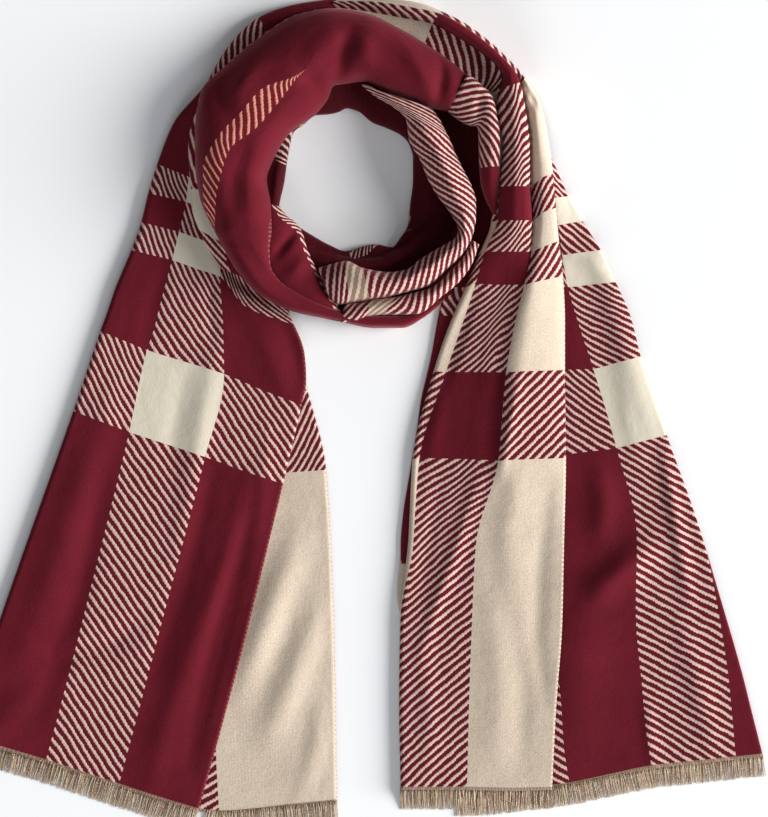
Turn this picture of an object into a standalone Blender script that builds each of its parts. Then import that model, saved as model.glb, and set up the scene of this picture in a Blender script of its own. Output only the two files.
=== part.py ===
"""A long woven blanket scarf, laid flat and wound once round an empty neck opening.

Both ends hang down as tails. The left tail is folded once along its length and the right tail
twice. Behind the neck the cloth lies in a low collar, and a second turn lies on that collar.

Plan tables count in threads of the cloth: x to the right, y down towards the hems. Heights in the
tables are millimetres above the surface that the scarf lies on.
"""

import math
import random
from collections import namedtuple

import bmesh
import bpy

# Driving dimensions
THREAD = 0.0009  # metres, the pitch of the cloth's threads, which the plan tables count in
MM = 0.001
WALL = 2.0  # mm, thickness of the double-faced cloth
PLAN_MIDDLE = (358.6, 414.0)  # threads, the middle of the scarf's outline
SEAM = 0.3  # mm, the gap kept between neighbouring pieces
COLLAR_HEIGHT = 12.0  # mm, the first turn, flattened by the second one that lies on it
FRINGE_LENGTH = 22.0  # threads
FRINGE_PITCH = 3.5  # threads
FRINGE_WIDTH = 1.9  # threads, of one strand at its root
FRINGE_STRIP = 3.0  # threads, the narrow strip that the roots are fused into

BURGUNDY = (0.16, 0.018, 0.035)
TAN = (0.72, 0.60, 0.45)
TAUPE = (0.38, 0.29, 0.20)


# The left tail from its hem upwards: the fold at its left, the two edges of its checked stripe,
# and the selvage, or the edge that lies hidden under the second turn. The last columns are the
# under layer: its own stripe edge, its selvage, and the height of the rounded fold.
LeftRow = namedtuple("LeftRow", "fold stripe_left stripe_right edge under_stripe under_edge height")
LEFT_TAIL = (
    LeftRow((-42, 737), (45, 763), (118, 786), (198, 812), (218, 813), (336, 803), 6.4),
    LeftRow((16, 572), (88, 598), (162, 621), (242, 650), (216, 640), (334, 635), 6.4),
    LeftRow((73, 411), (129, 432), (205, 457), (283, 484), (212, 478), (326, 470), 6.4),
    LeftRow((100, 331), (147, 350), (224, 374), (298, 405), (200, 395), (307, 388), 6.8),
    LeftRow((114, 291), (160, 305), (223, 326), (301, 354), (196, 345), (302, 350), 7.4),
    LeftRow((131, 250), (172, 260), (220, 277), (290, 311), (196, 280), (288, 309), 8.0),
    LeftRow((141, 222), (179, 232), (200, 243), (240, 264), (192, 240), (240, 262), 8.6),
    LeftRow((148, 193), (186, 202), (208, 222), (236, 236), (192, 212), (234, 234), 8.8),
    LeftRow((157, 164), (189, 177), (202, 190), (230, 205), (196, 185), (228, 203), 8.8),
    LeftRow((174, 122), (194, 138), (208, 150), (224, 164), (198, 142), (222, 162), 8.8),
    LeftRow((199, 90), (204, 101), (211, 112), (224, 130), (206, 104), (222, 129), 8.8),
)

# The right tail from its hem upwards: the flap's selvage and stripe edge, the fold at the left,
# then on the layer below it a hidden stripe edge, a stripe edge that shows, the fold at the
# right and the selvage turned under it. Last come the two folds' heights.
RightRow = namedtuple("RightRow", "flap_edge stripe fold hidden lower_stripe right_fold tucked height right_height")
RIGHT_TAIL = (
    RightRow((552, 791), (467, 790), (400, 790), (540, 797), (652, 769), (763, 757), (680, 763), 6.4, 5.4),
    RightRow((562, 625), (472, 622), (400, 622), (540, 622), (636, 600), (718, 592), (660, 602), 6.4, 5.4),
    RightRow((565, 458), (498, 460), (411, 460), (532, 458), (617, 449), (667, 436), (634, 444), 7.0, 5.6),
    RightRow((565, 371), (506, 372), (427, 372), (530, 371), (593, 369), (641, 357), (610, 364), 8.4, 6.0),
    RightRow((565, 330), (513, 330), (440, 330), (530, 330), (581, 330), (629, 318), (598, 326), 9.6, 6.4),
    RightRow((564, 291), (519, 292), (461, 295), (528, 292), (571, 291), (619, 289.5), (586, 291), 10.6, 6.8),
)

# The collar, a low closed ring: a point on the rim of the neck opening and one on its outer edge.
CollarRow = namedtuple("CollarRow", "opening outer")
COLLAR = (
    CollarRow((279, 208), (246, 222)),
    CollarRow((284, 183), (240, 190)),
    CollarRow((288, 156), (237, 156)),
    CollarRow((293, 133), (232, 126)),
    CollarRow((304, 124), (205, 86)),
    CollarRow((316, 115), (231, 42)),
    CollarRow((328, 114), (262, 15)),
    CollarRow((338, 112), (294, 4)),
    CollarRow((347, 108), (328, 9)),
    CollarRow((358, 111), (366, 25)),
    CollarRow((372, 122), (402, 42)),
    CollarRow((387, 128), (436, 64)),
    CollarRow((401, 135), (461, 96)),
    CollarRow((409, 144), (469, 130)),
    CollarRow((413, 158), (472, 160)),
    CollarRow((413, 180), (473, 190)),
    CollarRow((410, 205), (473, 215)),
    CollarRow((408, 224), (468, 238)),
    CollarRow((400, 238), (450, 262)),
    CollarRow((392, 247), (425, 288)),
    CollarRow((375, 244), (392, 303)),
    CollarRow((350, 250), (350, 306)),
    CollarRow((330, 245), (318, 296)),
    CollarRow((312, 235), (290, 276)),
    CollarRow((298, 226), (268, 252)),
    CollarRow((287, 217), (254, 237)),
)

# Rounded strands of the second turn: the edge towards the opening, the outer edge, the height of
# the crown, and the height that the outer edge comes down to.
StrandRow = namedtuple("StrandRow", "inner outer crown rest")
BACK_STRAND = (
    StrandRow((436, 300), (440, 304), 17, 12.3),
    StrandRow((416, 313), (422, 319), 20, 10),
    StrandRow((396, 317), (400, 328), 22, 2),
    StrandRow((370, 318), (372, 328), 23, 2),
    StrandRow((342, 313), (342, 322), 25, 2),
    StrandRow((318, 304), (318, 317), 28, 4),
    StrandRow((298, 294), (294, 312), 31, 9.5),
    StrandRow((280, 281), (262, 290), 35, 9.5),
    StrandRow((272, 266), (244, 272), 38, 9.5),
    StrandRow((270, 250), (228, 252), 40, 9.5),
    StrandRow((272, 230), (213, 227), 42, 9.5),
    StrandRow((271, 205), (201, 198), 44, 9.5),
    StrandRow((267, 180), (195, 165), 45, 9.5),
    StrandRow((278, 157), (195, 130), 45, 9.5),
    StrandRow((296, 131), (202, 92), 45, 12.3),
    StrandRow((314, 116), (228, 64), 45, 12.3),
    StrandRow((327, 101), (262, 36), 45, 12.3),
    StrandRow((334, 86), (297, 15), 45, 12.3),
    StrandRow((347, 84), (333, 9), 45, 12.3),
    StrandRow((364, 82), (366, 14), 44, 12.3),
    StrandRow((386, 92), (396, 27), 43, 12.3),
    StrandRow((411, 101), (424, 43), 41, 12.3),
    StrandRow((431, 109), (448, 60), 38, 12.3),
    StrandRow((446, 111), (466, 74), 34, 12.3),
)
FRONT_STRAND = (
    StrandRow((368, 88), (436, 114), 30, 12.3),
    StrandRow((385, 104), (442, 123), 33, 12.3),
    StrandRow((404, 119), (449, 137), 36, 12.3),
    StrandRow((410, 140), (457, 157), 38, 12.3),
    StrandRow((420, 160), (463, 170), 39, 12.3),
    StrandRow((428, 180), (469, 182), 39, 12.3),
    StrandRow((439, 198), (474, 200), 39, 12.3),
    StrandRow((450, 215), (475, 217), 38, 12.3),
    StrandRow((456, 228), (472, 234), 37, 12.3),
    StrandRow((453, 238), (465, 249), 36, 12.3),
    StrandRow((440, 247), (448, 266), 36, 12.3),
    StrandRow((423, 258), (428, 284), 36, 12.3),
    StrandRow((405, 268), (408, 291), 36, 12.3),
    StrandRow((383, 271), (388, 295), 36, 12.3),
    StrandRow((364, 269), (370, 299), 36, 12.3),
    StrandRow((349, 261), (348, 302), 34, 12.3),
)
LOWER_STRAND = (
    StrandRow((470, 244), (474, 249), 26, 12.3),
    StrandRow((463, 256), (469, 264), 28, 12.3),
    StrandRow((450, 271), (457, 280), 29, 12.3),
    StrandRow((430, 289), (437, 297), 29, 12.3),
    StrandRow((409, 295), (414, 310), 29, 12.3),
    StrandRow((389, 299), (394, 314), 29, 12.3),
    StrandRow((371, 303), (369, 315), 29, 12.3),
    StrandRow((350, 306), (345, 311), 27, 12.3),
)
INNER_STRAND = (
    StrandRow((279, 209), (275, 213), 26, 12.3),
    StrandRow((290, 220), (275, 230), 30, 12.3),
    StrandRow((300, 233), (274, 250), 32, 12.3),
    StrandRow((307, 250), (276, 266), 33, 12.3),
    StrandRow((315, 267), (285, 279), 33, 12.3),
    StrandRow((326, 284), (301, 291), 32, 12.3),
    StrandRow((335, 299), (319, 302), 30, 12.3),
    StrandRow((341, 309), (334, 309), 26, 12.3),
)

# The shoulder: the cloth of the second turn as it opens out into the right tail. Across it lie a
# first fold, a valley, a second fold with an overhanging edge, and a roll at the outside.
ShoulderRow = namedtuple("ShoulderRow", "inner valley edge outer fold_1 valley_height fold_2 roll")
SHOULDER = (
    ShoulderRow((334, 5), (333, 3), (332, 1), (331, -2), 10, 9, 12, 10),
    ShoulderRow((367, 10), (367, 6), (367, 2), (366, -6), 17, 14, 22, 18),
    ShoulderRow((405, 28), (410, 19), (414, 12), (419, 3), 22, 18, 32, 26),
    ShoulderRow((429, 42), (441, 30), (448, 23), (456, 18), 26, 20, 36, 30),
    ShoulderRow((449, 56), (468, 45), (477, 40), (486, 39), 28, 20, 38, 32),
    ShoulderRow((463, 67), (488, 61), (498, 57), (508, 60), 30, 20, 39, 32),
    ShoulderRow((474, 78), (494, 79), (514, 76), (524, 78), 34, 20, 39, 32),
    ShoulderRow((477, 99), (491, 98), (525, 96), (538, 97), 35, 18, 38, 28),
    ShoulderRow((480, 118), (497, 117), (528, 118), (544, 119), 31, 16, 36, 25),
    ShoulderRow((480, 143), (500, 140), (530, 142), (548, 142), 27, 14, 34, 23),
    ShoulderRow((482, 173), (498, 173), (531, 172), (554, 171), 21, 12, 31, 21),
    ShoulderRow((481, 204), (497, 204), (531, 204), (575, 206), 15, 11, 28, 17),
    ShoulderRow((479, 232), (493, 230), (532, 232), (593, 233), 13, 10, 25, 14),
    ShoulderRow((477, 262), (486, 260), (528, 262), (608, 262), 12, 10, 20, 11),
    ShoulderRow((463, 292), (478, 291), (520, 291), (618, 288), 11, 9.5, 14, 9),
)


def place(x, y, height):
    """A point of the plan tables, in metres about the scarf's middle."""
    return (
        (x - PLAN_MIDDLE[0]) * THREAD,
        (PLAN_MIDDLE[1] - y) * THREAD,
        height * MM,
    )


def mix(a, b, t):
    return tuple(p + (q - p) * t for p, q in zip(a, b))


def ease(t):
    t = min(max(t, 0.0), 1.0)
    return t * t * (3 - 2 * t)


def spline_point(p0, p1, p2, p3, t):
    """The Catmull-Rom curve through p1 and p2."""
    return tuple(
        0.5 * (2 * b + (c - a) * t + (2 * a - 5 * b + 4 * c - d) * t * t + (3 * b - a - 3 * c + d) * t**3)
        for a, b, c, d in zip(p0, p1, p2, p3)
    )


def flatten(row):
    """A table row as one plain list of numbers."""
    return [n for value in row for n in (value if isinstance(value, tuple) else (value,))]


def rebuild(kind, numbers):
    """A table row of this kind from its plain list of numbers."""
    numbers = list(numbers)
    values = []
    for sample in kind[0]:
        count = len(sample) if isinstance(sample, tuple) else 1
        taken = tuple(numbers[:count])
        del numbers[:count]
        values.append(taken if isinstance(sample, tuple) else taken[0])
    return type(kind[0])(*values)


def smooth_rows(table, steps, closed=False):
    """The table with steps rows for each span, on smooth curves through its own rows."""
    flat = [flatten(row) for row in table]
    count = len(flat)
    spans = count if closed else count - 1
    made = []
    for i in range(spans):
        if closed:
            around = [flat[(i + k) % count] for k in (-1, 0, 1, 2)]
        else:
            around = [flat[min(max(i + k, 0), count - 1)] for k in (-1, 0, 1, 2)]
        for step in range(steps):
            made.append(rebuild(table, spline_point(*around, step / steps)))
    if not closed:
        made.append(table[-1])
    return made


def material(name, colour, roughness):
    made = bpy.data.materials.new(name)
    made.use_nodes = True
    shader = made.node_tree.nodes["Principled BSDF"]
    shader.inputs["Base Color"].default_value = (*colour, 1.0)
    shader.inputs["Roughness"].default_value = roughness
    shader.inputs["Metallic"].default_value = 0.0
    return made


def add_object(name, bm, colour, smooth=True):
    """Turns the mesh's faces outwards and puts it in the scene."""
    if bm.calc_volume(signed=True) < 0:
        bmesh.ops.reverse_faces(bm, faces=bm.faces)
    mesh = bpy.data.meshes.new(name)
    bm.to_mesh(mesh)
    bm.free()
    if smooth:
        mesh.shade_smooth()
    mesh.materials.append(material(name + "_cloth", colour, 0.85))
    made = bpy.data.objects.new(name, mesh)
    bpy.context.scene.collection.objects.link(made)
    return made


def skin(name, upper, lower, colour, closed=False):
    """One closed body between two equal grids of points: rows along the cloth, columns across it."""
    bm = bmesh.new()
    faces_of = []
    for grid in (upper, lower):
        faces_of.append([[bm.verts.new(point) for point in row] for row in grid])
    top, bottom = faces_of
    rows, columns = len(top), len(top[0])
    last = rows if closed else rows - 1
    for r in range(last):
        s = (r + 1) % rows
        for c in range(columns - 1):
            bm.faces.new((top[r][c], top[r][c + 1], top[s][c + 1], top[s][c]))
            bm.faces.new((bottom[r][c], bottom[s][c], bottom[s][c + 1], bottom[r][c + 1]))
        bm.faces.new((top[r][0], top[s][0], bottom[s][0], bottom[r][0]))
        bm.faces.new((top[r][-1], bottom[r][-1], bottom[s][-1], top[s][-1]))
    if not closed:
        for c in range(columns - 1):
            bm.faces.new((top[0][c], bottom[0][c], bottom[0][c + 1], top[0][c + 1]))
            bm.faces.new((top[-1][c], top[-1][c + 1], bottom[-1][c + 1], bottom[-1][c]))
    return add_object(name, bm, colour)


def turn(fold, inside, low, high, wall_inside):
    """The points of a rounded fold in the cloth, from its low layer round to its high one.

    The fold's outermost point is at fold, and inside is a point of the layer that it comes from.
    Each pair holds the outer and the inner face of the wall.
    """
    away = (fold[0] - inside[0], fold[1] - inside[1])
    length = math.hypot(*away)
    away = (away[0] / length, away[1] / length)
    radius = (high - low) / 2
    centre_height = (high + low) / 2
    plan_radius = radius * MM / THREAD
    made = []
    for degrees in (-90, -60, -25, 15, 50, 90):
        angle = math.radians(degrees)
        pair = []
        for part in (radius, radius - wall_inside):
            reach = part * MM / THREAD * math.cos(angle) - plan_radius
            pair.append(
                (
                    fold[0] + away[0] * reach,
                    fold[1] + away[1] * reach,
                    centre_height + part * math.sin(angle),
                )
            )
        made.append(pair)
    return made


def grids(sections):
    """Splits sections of (outer, inner) pairs into two grids of placed points."""
    return [[[place(*pair[side]) for pair in section] for section in sections] for side in (0, 1)]


def left_section(row):
    """The left tail across: its under layer, the fold at its left and its upper layer."""
    section = []
    under = [row.under_edge, mix(row.under_stripe, row.under_edge, 0.5), row.under_stripe]
    under.append(mix(row.under_stripe, row.fold, 0.5))
    for point in under:
        section.append(((*point, 0.0), (*point, WALL)))
    section.extend(turn(row.fold, row.stripe_left, 0.0, row.height, WALL))
    upper = [
        (mix(row.fold, row.stripe_left, 0.5), 0.45),
        (row.stripe_left, 0.2),
        (mix(row.stripe_left, row.stripe_right, 0.5), 0.1),
        (row.stripe_right, 0.0),
        (mix(row.stripe_right, row.edge, 0.5), 0.0),
        (row.edge, 0.0),
    ]
    resting = 2 * WALL + SEAM
    for point, fullness in upper:
        height = resting + (row.height - resting) * fullness
        section.append(((*point, height), (*point, height - WALL)))
    return section


def right_section(row):
    """The right tail across: the flap, the fold at its left, the lower layer and what is tucked under."""
    section = []
    resting = 2 * WALL + SEAM
    flap = [
        (row.flap_edge, 0.0),
        (mix(row.flap_edge, row.stripe, 0.5), 0.05),
        (row.stripe, 0.2),
        (mix(row.stripe, row.fold, 0.5), 0.5),
    ]
    for point, fullness in flap:
        height = resting + (row.height - resting) * fullness
        section.append(((*point, height), (*point, height - WALL)))
    section.extend(reversed(turn(row.fold, row.stripe, 0.0, row.height, WALL)))
    section.append(((*mix(row.fold, row.hidden, 0.4), 0.0), (*mix(row.fold, row.hidden, 0.4), WALL)))
    section.append(((*row.hidden, 0.0), (*row.hidden, WALL)))
    lifted = WALL + 2 * SEAM
    section.append(((*row.lower_stripe, lifted), (*row.lower_stripe, lifted + WALL)))
    middle = mix(row.lower_stripe, row.right_fold, 0.5)
    section.append(((*middle, lifted + 0.2), (*middle, lifted + WALL + 0.2)))
    for outside, inside in reversed(turn(row.right_fold, row.lower_stripe, 0.0, row.right_height, WALL)):
        section.append((inside, outside))
    section.append(((*row.tucked, WALL), (*row.tucked, 0.0)))
    return section


def left_tail():
    outer, inner = grids([left_section(row) for row in smooth_rows(LEFT_TAIL, 2)])
    return skin("left_tail", outer, inner, BURGUNDY)


def right_tail():
    outer, inner = grids([right_section(row) for row in smooth_rows(RIGHT_TAIL, 3)])
    return skin("right_tail", outer, inner, TAN)


def collar():
    """The first turn: a ring with a flat underside and rounded shoulders."""
    shape = ((0.0, 0.25), (0.04, 0.62), (0.14, 0.9), (0.35, 1.0), (0.7, 1.0), (0.9, 0.85), (0.97, 0.6), (1.0, 0.25))
    upper, lower = [], []
    for row in smooth_rows(COLLAR, 2, closed=True):
        across = [(mix(row.opening, row.outer, t), fullness) for t, fullness in shape]
        upper.append([place(*point, COLLAR_HEIGHT * fullness) for point, fullness in across])
        lower.append([place(*point, 0.0) for point, _ in across])
    return skin("neck_collar", upper, lower, BURGUNDY, closed=True)


def strand(name, table, colour, steps=2, columns=10, lean=1.0, edge=2.5):
    """A gathered strand: rounded on top, and lying on the collar, or over its edge, below."""
    floor = COLLAR_HEIGHT + SEAM
    upper, lower = [], []
    for row in smooth_rows(table, steps):
        top, bottom = [], []
        for k in range(columns):
            t = (1 - math.cos(math.pi * k / (columns - 1))) / 2
            point = mix(row.inner, row.outer, t)
            under = floor + (row.rest - floor) * ease((t - 0.55) / 0.45)
            bulge = math.sqrt(max(1 - abs(2 * t**lean - 1) ** 2.3, 0.0))
            top.append(place(*point, under + edge + max(row.crown - under - edge, 0.0) * bulge))
            bottom.append(place(*point, under))
        upper.append(top)
        lower.append(bottom)
    return skin(name, upper, lower, colour)


def shoulder():
    """The second turn where it opens into the right tail, standing on its own flat underside."""
    upper, lower = [], []
    for row in smooth_rows(SHOULDER, 2):
        across = [
            (row.inner, 3.0),
            (mix(row.inner, row.valley, 0.15), row.fold_1 * 0.7),
            (mix(row.inner, row.valley, 0.5), row.fold_1),
            (mix(row.inner, row.valley, 0.85), (row.fold_1 + row.valley_height) / 2),
            (row.valley, row.valley_height),
            (mix(row.valley, row.edge, 0.25), row.fold_2 * 0.85),
            (mix(row.valley, row.edge, 0.6), row.fold_2),
            (mix(row.valley, row.edge, 0.9), row.fold_2 * 0.9),
            (row.edge, row.roll * 0.9),
            (mix(row.edge, row.outer, 0.4), row.roll),
            (mix(row.edge, row.outer, 0.8), row.roll * 0.7),
            (row.outer, 3.0),
        ]
        upper.append([place(*point, height) for point, height in across])
        lower.append([place(*point, 0.0) for point, _ in across])
    return skin("right_shoulder", upper, lower, TAN)


def fringe(name, hem, root_height, tip_height, colour, seed):
    """A comb of strands whose roots are fused into a narrow strip just off the cloth's hem."""
    draw = random.Random(seed)
    lengths = [math.dist(a, b) for a, b in zip(hem, hem[1:])]
    total = sum(lengths)
    count = int(total / FRINGE_PITCH)

    def on_hem(distance):
        for a, b, length in zip(hem, hem[1:], lengths):
            if distance <= length + 1e-9:
                return mix(a, b, distance / length), ((b[0] - a[0]) / length, (b[1] - a[1]) / length)
            distance -= length
        return hem[-1], ((b[0] - a[0]) / length, (b[1] - a[1]) / length)

    bm = bmesh.new()
    rings = []
    half = FRINGE_WIDTH / 2
    for k in range(count):
        for offset in (-half, half):
            point, along = on_hem(min(max((k + 0.5) * total / count + offset, 0.0), total))
            down = (-along[1], along[0])
            if down[1] < 0:
                down = (-down[0], -down[1])
            ring = []
            for reach, height in ((0.5, root_height + 1.6), (0.5, root_height), (FRINGE_STRIP, root_height), (FRINGE_STRIP, root_height + 1.4)):
                ring.append(bm.verts.new(place(point[0] + down[0] * reach, point[1] + down[1] * reach, height)))
            rings.append((ring, down, point))
    fronts = []
    for k in range(len(rings) - 1):
        a, b = rings[k][0], rings[k + 1][0]
        for i in range(4):
            face = bm.faces.new((a[i], b[i], b[(i + 1) % 4], a[(i + 1) % 4]))
            if i == 2 and k % 2 == 0:
                fronts.append((face, mix(rings[k][2], rings[k + 1][2], 0.5), rings[k][1]))
    bm.faces.new(rings[0][0])
    bm.faces.new(reversed(rings[-1][0]))
    for face, root, down in fronts:
        length = FRINGE_LENGTH * draw.uniform(0.84, 1.0)
        slant = draw.uniform(-0.6, 0.6)
        tip = place(root[0] + down[0] * length + slant, root[1] + down[1] * length, 0)
        made = bmesh.ops.extrude_discrete_faces(bm, faces=[face])["faces"][0]
        middle = made.calc_center_median()
        thin = draw.uniform(0.45, 0.65)
        for vert in made.verts:
            vert.co.x = tip[0] + (vert.co.x - middle.x) * thin
            vert.co.y = tip[1] + (vert.co.y - middle.y) * thin
            vert.co.z = tip_height * MM + (vert.co.z - middle.z) * 0.6 + 0.0005
    bmesh.ops.recalc_face_normals(bm, faces=bm.faces)
    return add_object(name, bm, colour, smooth=False)


for startup_object in list(bpy.data.objects):
    bpy.data.objects.remove(startup_object)

left_tail()
right_tail()
collar()
strand("back_strand", BACK_STRAND, BURGUNDY)
strand("front_strand", FRONT_STRAND, BURGUNDY)
strand("lower_strand", LOWER_STRAND, BURGUNDY, columns=8)
strand("inner_strand", INNER_STRAND, BURGUNDY, columns=8)
shoulder()
fringe("left_tail_fringe", [(-42, 737), (45, 763), (118, 786), (198, 812)], 2.4, 0.8, TAUPE, 11)
fringe("left_under_fringe", [(207, 810), (218, 813), (336, 803)], 0.2, 0.4, TAUPE, 12)
fringe("right_flap_fringe", [(400, 790), (467, 790), (552, 791)], 2.6, 2.4, TAUPE, 13)
fringe("right_under_fringe", [(456, 793), (540, 797), (652, 769), (763, 757)], 0.2, 0.4, TAUPE, 14)
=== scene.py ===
"""A long double-faced woven scarf, laid flat and wound once round an empty neck opening.

Plan points count in threads of the cloth: x to the right, y down towards the hems. Heights are
millimetres above the floor. On the cloth, u counts threads from the first selvage and v from the
left hem.
"""

import math
import random

import bmesh
import bpy
import numpy as np
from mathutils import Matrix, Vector


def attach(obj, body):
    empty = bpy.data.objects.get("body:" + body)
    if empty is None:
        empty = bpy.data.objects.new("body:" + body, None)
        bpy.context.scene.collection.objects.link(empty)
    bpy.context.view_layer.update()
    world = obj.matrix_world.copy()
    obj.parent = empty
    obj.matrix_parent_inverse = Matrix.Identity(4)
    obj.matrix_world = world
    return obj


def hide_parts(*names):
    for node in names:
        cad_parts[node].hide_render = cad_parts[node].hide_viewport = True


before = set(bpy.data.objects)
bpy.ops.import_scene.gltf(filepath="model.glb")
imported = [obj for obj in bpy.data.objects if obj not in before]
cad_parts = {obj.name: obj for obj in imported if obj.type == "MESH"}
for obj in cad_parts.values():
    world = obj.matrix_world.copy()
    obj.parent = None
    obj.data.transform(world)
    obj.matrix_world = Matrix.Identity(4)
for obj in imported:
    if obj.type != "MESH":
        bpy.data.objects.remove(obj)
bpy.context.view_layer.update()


# Camera, light and floor. The scarf lies on a plain pale floor and is seen from straight above
# through a long lens, with a large soft lamp at the right, a weaker one beyond the hems and a
# pale room all round.

THREAD = 0.0009  # metres, the pitch of the cloth's threads
MM = 0.001
PLAN_MIDDLE = (358.6, 414.0)  # threads, the plan point over the frame's origin
VIEW_MIDDLE = (384.0, 408.5)  # threads, the plan point in the middle of the view
VIEW_HEIGHT = 817  # threads, what the view takes in along its long side
VIEW_LEVEL = 8  # mm, the height at which the view takes in just that much
SENSOR, LENS = 36.0, 250.0  # mm


def place(x, y, height):
    """A plan point and a height, in metres in the frame."""
    return ((x - PLAN_MIDDLE[0]) * THREAD, (PLAN_MIDDLE[1] - y) * THREAD, height * MM)


def add(name, data):
    """A new object in the scene."""
    made = bpy.data.objects.new(name, data)
    bpy.context.scene.collection.objects.link(made)
    return made


camera = add("camera", bpy.data.cameras.new("camera"))
camera.data.sensor_width = SENSOR
camera.data.lens = LENS
camera.location = place(*VIEW_MIDDLE, VIEW_LEVEL)
camera.location.z += LENS / SENSOR * VIEW_HEIGHT * THREAD
bpy.context.scene.camera = camera


def lamp(name, location, size, power, colour):
    """A round area lamp that faces the scarf's middle."""
    made = add(name, bpy.data.lights.new(name, "AREA"))
    made.data.shape = "DISK"
    made.data.size = size
    made.data.energy = power
    made.data.color = colour
    made.location = location
    made.rotation_mode = "QUATERNION"
    made.rotation_quaternion = Vector(location).to_track_quat("Z", "Y")


lamp("key", (14.5, -0.6, 5.2), 10.0, 5500, (1.0, 0.985, 0.965))
lamp("low_fill", (-1.5, -14.5, 4.8), 11.0, 1500, (0.97, 0.985, 1.0))

world = bpy.data.worlds.new("room")
world.use_nodes = True
room_light = world.node_tree.nodes["Background"].inputs
room_light["Color"].default_value = (0.94, 0.96, 1.0, 1)
room_light["Strength"].default_value = 0.245
bpy.context.scene.world = world
bpy.context.scene.view_settings.view_transform = "Standard"

FLOOR_HALF = 4.0  # metres
FLOOR_LEVEL = -0.3  # mm
CORNERS = ((-1, -1), (1, -1), (1, 1), (-1, 1))
floor = add("floor", bpy.data.meshes.new("floor"))
floor.data.from_pydata(
    [(x * FLOOR_HALF, y * FLOOR_HALF, FLOOR_LEVEL * MM) for x, y in CORNERS], [], [(0, 1, 2, 3)]
)
floor_paint = bpy.data.materials.new("pale_floor")
floor_paint.use_nodes = True
floor_shader = floor_paint.node_tree.nodes["Principled BSDF"]
floor_shader.inputs["Base Color"].default_value = (0.86, 0.87, 0.885, 1)
floor_shader.inputs["Roughness"].default_value = 0.7
floor.data.materials.append(floor_paint)


# The cloth's two faces. The scarf is one double-faced weave: where the front is burgundy the back
# is tan. Three lengthwise stripes and crosswise bars from each hem change the two yarns over in a
# steep twill, and where a stripe and a bar cross they change over fully.

CLOTH_WIDTH = 591  # threads
CLOTH_LENGTH = 2450
STRIPES = ((79, 156), (235, 312), (391, 471))  # threads from the first selvage
BARS = ((340, 425), (515, 545), (575, 605), (695, 780))  # threads from each hem
MIDDLE_BAR = (1100, 1124)  # threads from the left hem
TWILL_ACROSS, TWILL_ALONG = 11.2, 9.3  # threads from one twill line to the next
HEADER = 3.4  # threads, the firmer strip at each hem
RIM = 1.2  # threads, the part of each selvage that shows the other face's yarn
DASH = 4.6  # threads from one dash of that yarn to the next
FLOATS, BIRDSEYE, HEADER_YARNS = 2.4, 1.42, 2.1  # radians of their waves for each thread
STRAY = 3.4  # threads by which the birdseye's rows wander

BURGUNDY = (0.123, 0.0068, 0.0168)
DEEP_BURGUNDY = (0.085, 0.0035, 0.0085)
# Between the twill lines: partly the yarn's deeper red, partly painted shade between raised lines
SHADED_HATCH_RED = (0.082, 0.004, 0.0095)
CREAM = (0.575, 0.54, 0.44)
TAN = (0.60, 0.51, 0.41)
SPECK = (0.41, 0.31, 0.23)
TWILL_CREAM = (0.62, 0.46, 0.40)
DULL_CREAM = (0.40, 0.20, 0.17)
# Painted reflection: the back strand's twill lines and the red between them, warmed orange-pink as
# by light reflected off the red velvety cloth
EMBER_REFLECTION = (0.72, 0.34, 0.25)
DULL_EMBER_REFLECTION = (0.42, 0.11, 0.075)
EMBER_REFLECTION_RED = (0.19, 0.009, 0.014)
# Brown of the middle bar's twill lines, also laid over its whole crossing as painted shade
MIDDLE_BROWN_AND_SHADE = (0.20, 0.115, 0.075)
SELVAGE_BROWN = (0.17, 0.08, 0.07)
SELVAGE_PALE = (0.19, 0.10, 0.085)
# Painted shade: darker copies of the cloth's colours, for the collar deep in the neck opening
PAINTED_SHADE_HATCH = (0.035, 0.0015, 0.004)
PAINTED_SHADE_CREAMS = ((0.22, 0.10, 0.085), (0.46, 0.34, 0.30))
PAINTED_SHADE_REDS = ((0.030, 0.001, 0.003), (0.075, 0.003, 0.008))
HEADER_TONES = ((0.13, 0.085, 0.06), (0.36, 0.27, 0.19))
FRONT_SHEEN = (0.25, (1.0, 0.42, 0.48))  # weight and tint
BACK_SHEEN = (0.06, (1.0, 0.9, 0.8))


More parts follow.
